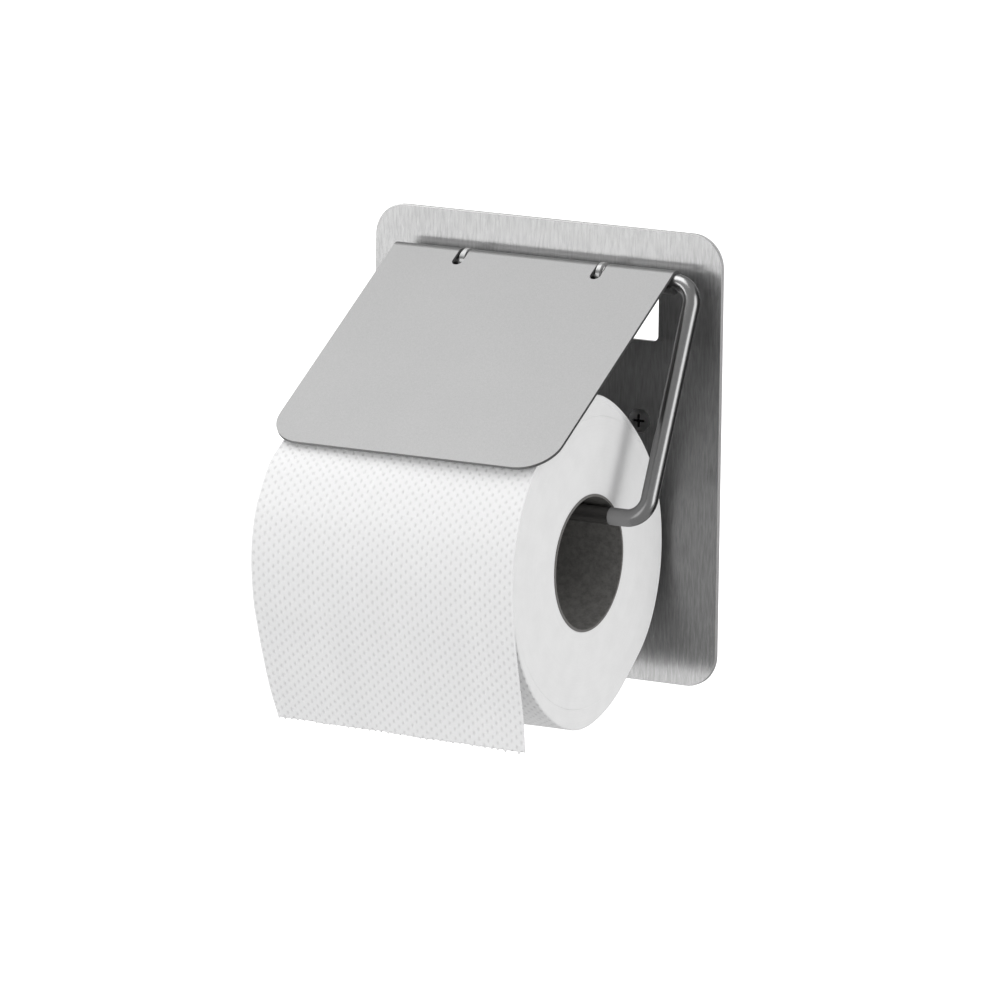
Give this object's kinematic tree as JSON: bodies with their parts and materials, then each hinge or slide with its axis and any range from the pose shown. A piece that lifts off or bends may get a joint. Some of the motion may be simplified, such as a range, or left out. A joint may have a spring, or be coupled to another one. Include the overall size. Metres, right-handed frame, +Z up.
{
  "type": "toilet paper holder",
  "caption": "Wall-mounted toilet paper holder: brushed sheet back plate, hinged sloping cover and a bent wire arm carrying a paper roll.",
  "frame": {"origin": "middle of the four wall fixings, on the back of the plate", "axes": "+X right as seen by the user, +Y into the wall, +Z up"},
  "size_m": [0.136, 0.1361, 0.1621],
  "materials": {
    "brushed_plate": "vertical brushed grain",
    "brushed_cover": "fine brushed grain down the slope",
    "polished_wire": "polished",
    "tissue": "wound tissue paper",
    "tissue_sheet": "embossed tissue paper",
    "cardboard": "grey board",
    "screw_steel": "bright machined"
  },
  "bodies": {
    "wall_plate": {"back_plate": "brushed_plate", "wall_screw_upper_left": "screw_steel", "wall_screw_lower_left": "screw_steel", "wall_screw_upper_right": "screw_steel", "wall_screw_lower_right": "screw_steel"},
    "arm": {"wire_arm": "polished_wire"},
    "cover": {"cover_flap": "brushed_cover"},
    "sheet": {"hanging_sheet": "tissue_sheet"},
    "roll": {"paper_roll": "tissue", "cardboard_core": "cardboard"}
  },
  "joints": [
    {"name": "arm_swing", "type": "hinge", "parent": "wall_plate", "child": "arm", "pos_m": [0, -0.0095, 0.0822], "axis": [-1, 0, 0], "range_deg": [0, 30]},
    {"name": "cover_lift", "type": "hinge", "parent": "arm", "child": "cover", "pos_m": [0, -0.0095, 0.0822], "axis": [-1, 0, 0], "range_deg": [0, 90]},
    {"name": "roll_slide", "type": "slide", "parent": "arm", "child": "sheet", "axis": [-1, 0, 0], "range_m": [0, 0.105]},
    {"name": "roll_spin", "type": "hinge", "parent": "sheet", "child": "roll", "pos_m": [0, -0.0553, -0.00735], "axis": [1, 0, 0], "continuous": true}
  ]
}
